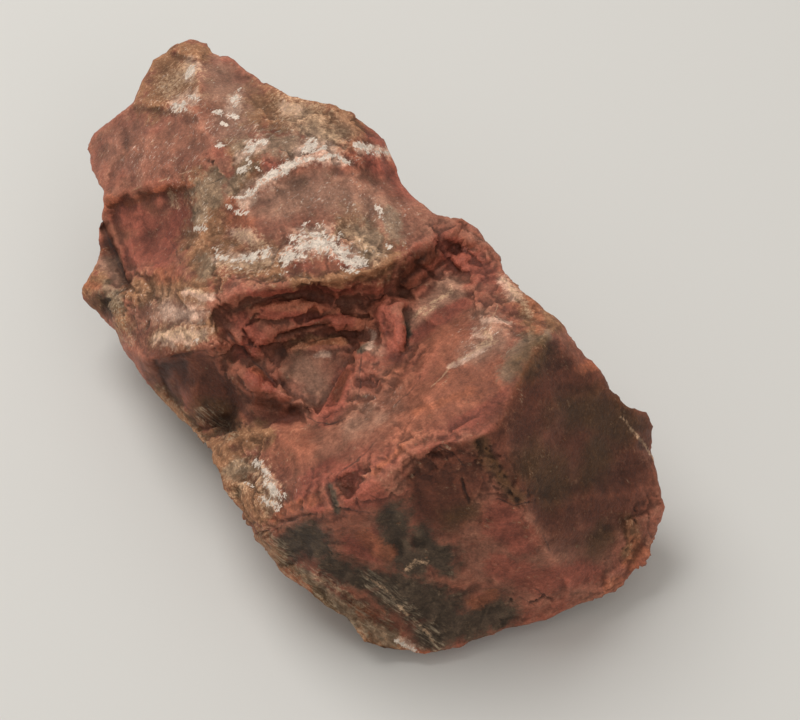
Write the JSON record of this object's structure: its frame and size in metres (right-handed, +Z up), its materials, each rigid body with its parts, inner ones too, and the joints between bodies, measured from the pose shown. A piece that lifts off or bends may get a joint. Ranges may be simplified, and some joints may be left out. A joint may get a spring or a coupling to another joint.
{
  "type": "petrified wood chunk",
  "caption": "Rough elongated chunk of red jasper petrified wood, broken across the grain at both ends and split along it at the sides, resting on a small flat spot.",
  "frame": {"origin": "a point on the small flat spot that the chunk rests on, under the middle of its length", "axes": "+Z up from the table, +Y along the fossil trunk's grain from the thick broken end towards the narrow tip, +X to the right when the thick end faces the viewer"},
  "size_m": [0.0686, 0.1206, 0.0457],
  "materials": {
    "jasper": "rough fracture, waxy on the fresh breaks"
  },
  "bodies": {
    "root": {"petrified_wood_chunk": "jasper"}
  },
  "joints": []
}
